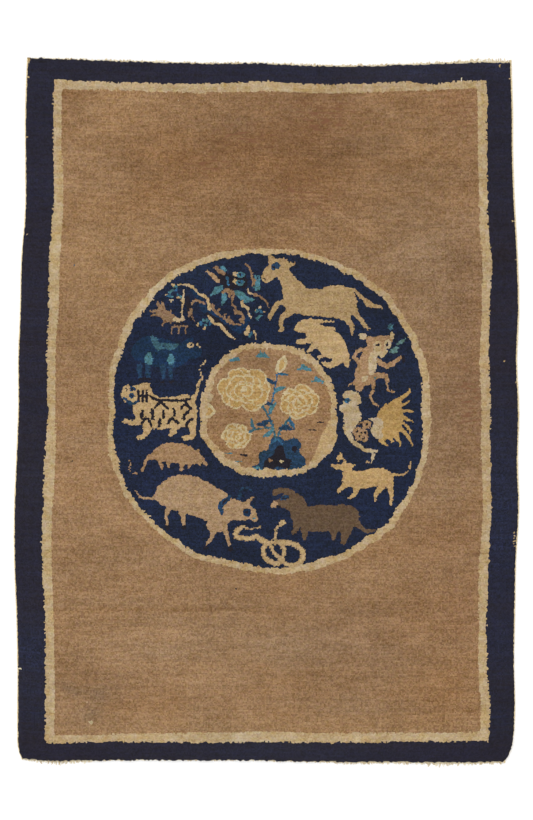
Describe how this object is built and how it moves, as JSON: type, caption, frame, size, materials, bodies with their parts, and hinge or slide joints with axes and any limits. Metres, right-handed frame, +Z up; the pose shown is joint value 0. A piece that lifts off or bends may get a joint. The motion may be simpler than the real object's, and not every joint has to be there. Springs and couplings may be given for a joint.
{
  "type": "hand-knotted wool rug",
  "caption": "Rectangular hand-knotted wool rug that lies flat, with corded side edges and short cut warp ends past a narrow web at both ends.",
  "frame": {"origin": "on the floor under the middle of the rug's box", "axes": "+Y along the warps, towards the end that is the pattern's top; +Z up out of the pile; +X across the rug, to the right with the pattern upright"},
  "size_m": [1.2888, 1.8112, 0.0085],
  "materials": {
    "wool_pile": "clipped wool pile, about 5 mm, worn and matt",
    "side_cord": "cotton cord, wrapped round the outer warps",
    "cotton_warp": "undyed cotton web and cut warp ends"
  },
  "bodies": {
    "root": {"knotted_cloth": "wool_pile", "side_cord_left": "side_cord", "side_cord_right": "side_cord", "warp_end_top": "cotton_warp", "warp_end_bottom": "cotton_warp"}
  },
  "joints": []
}
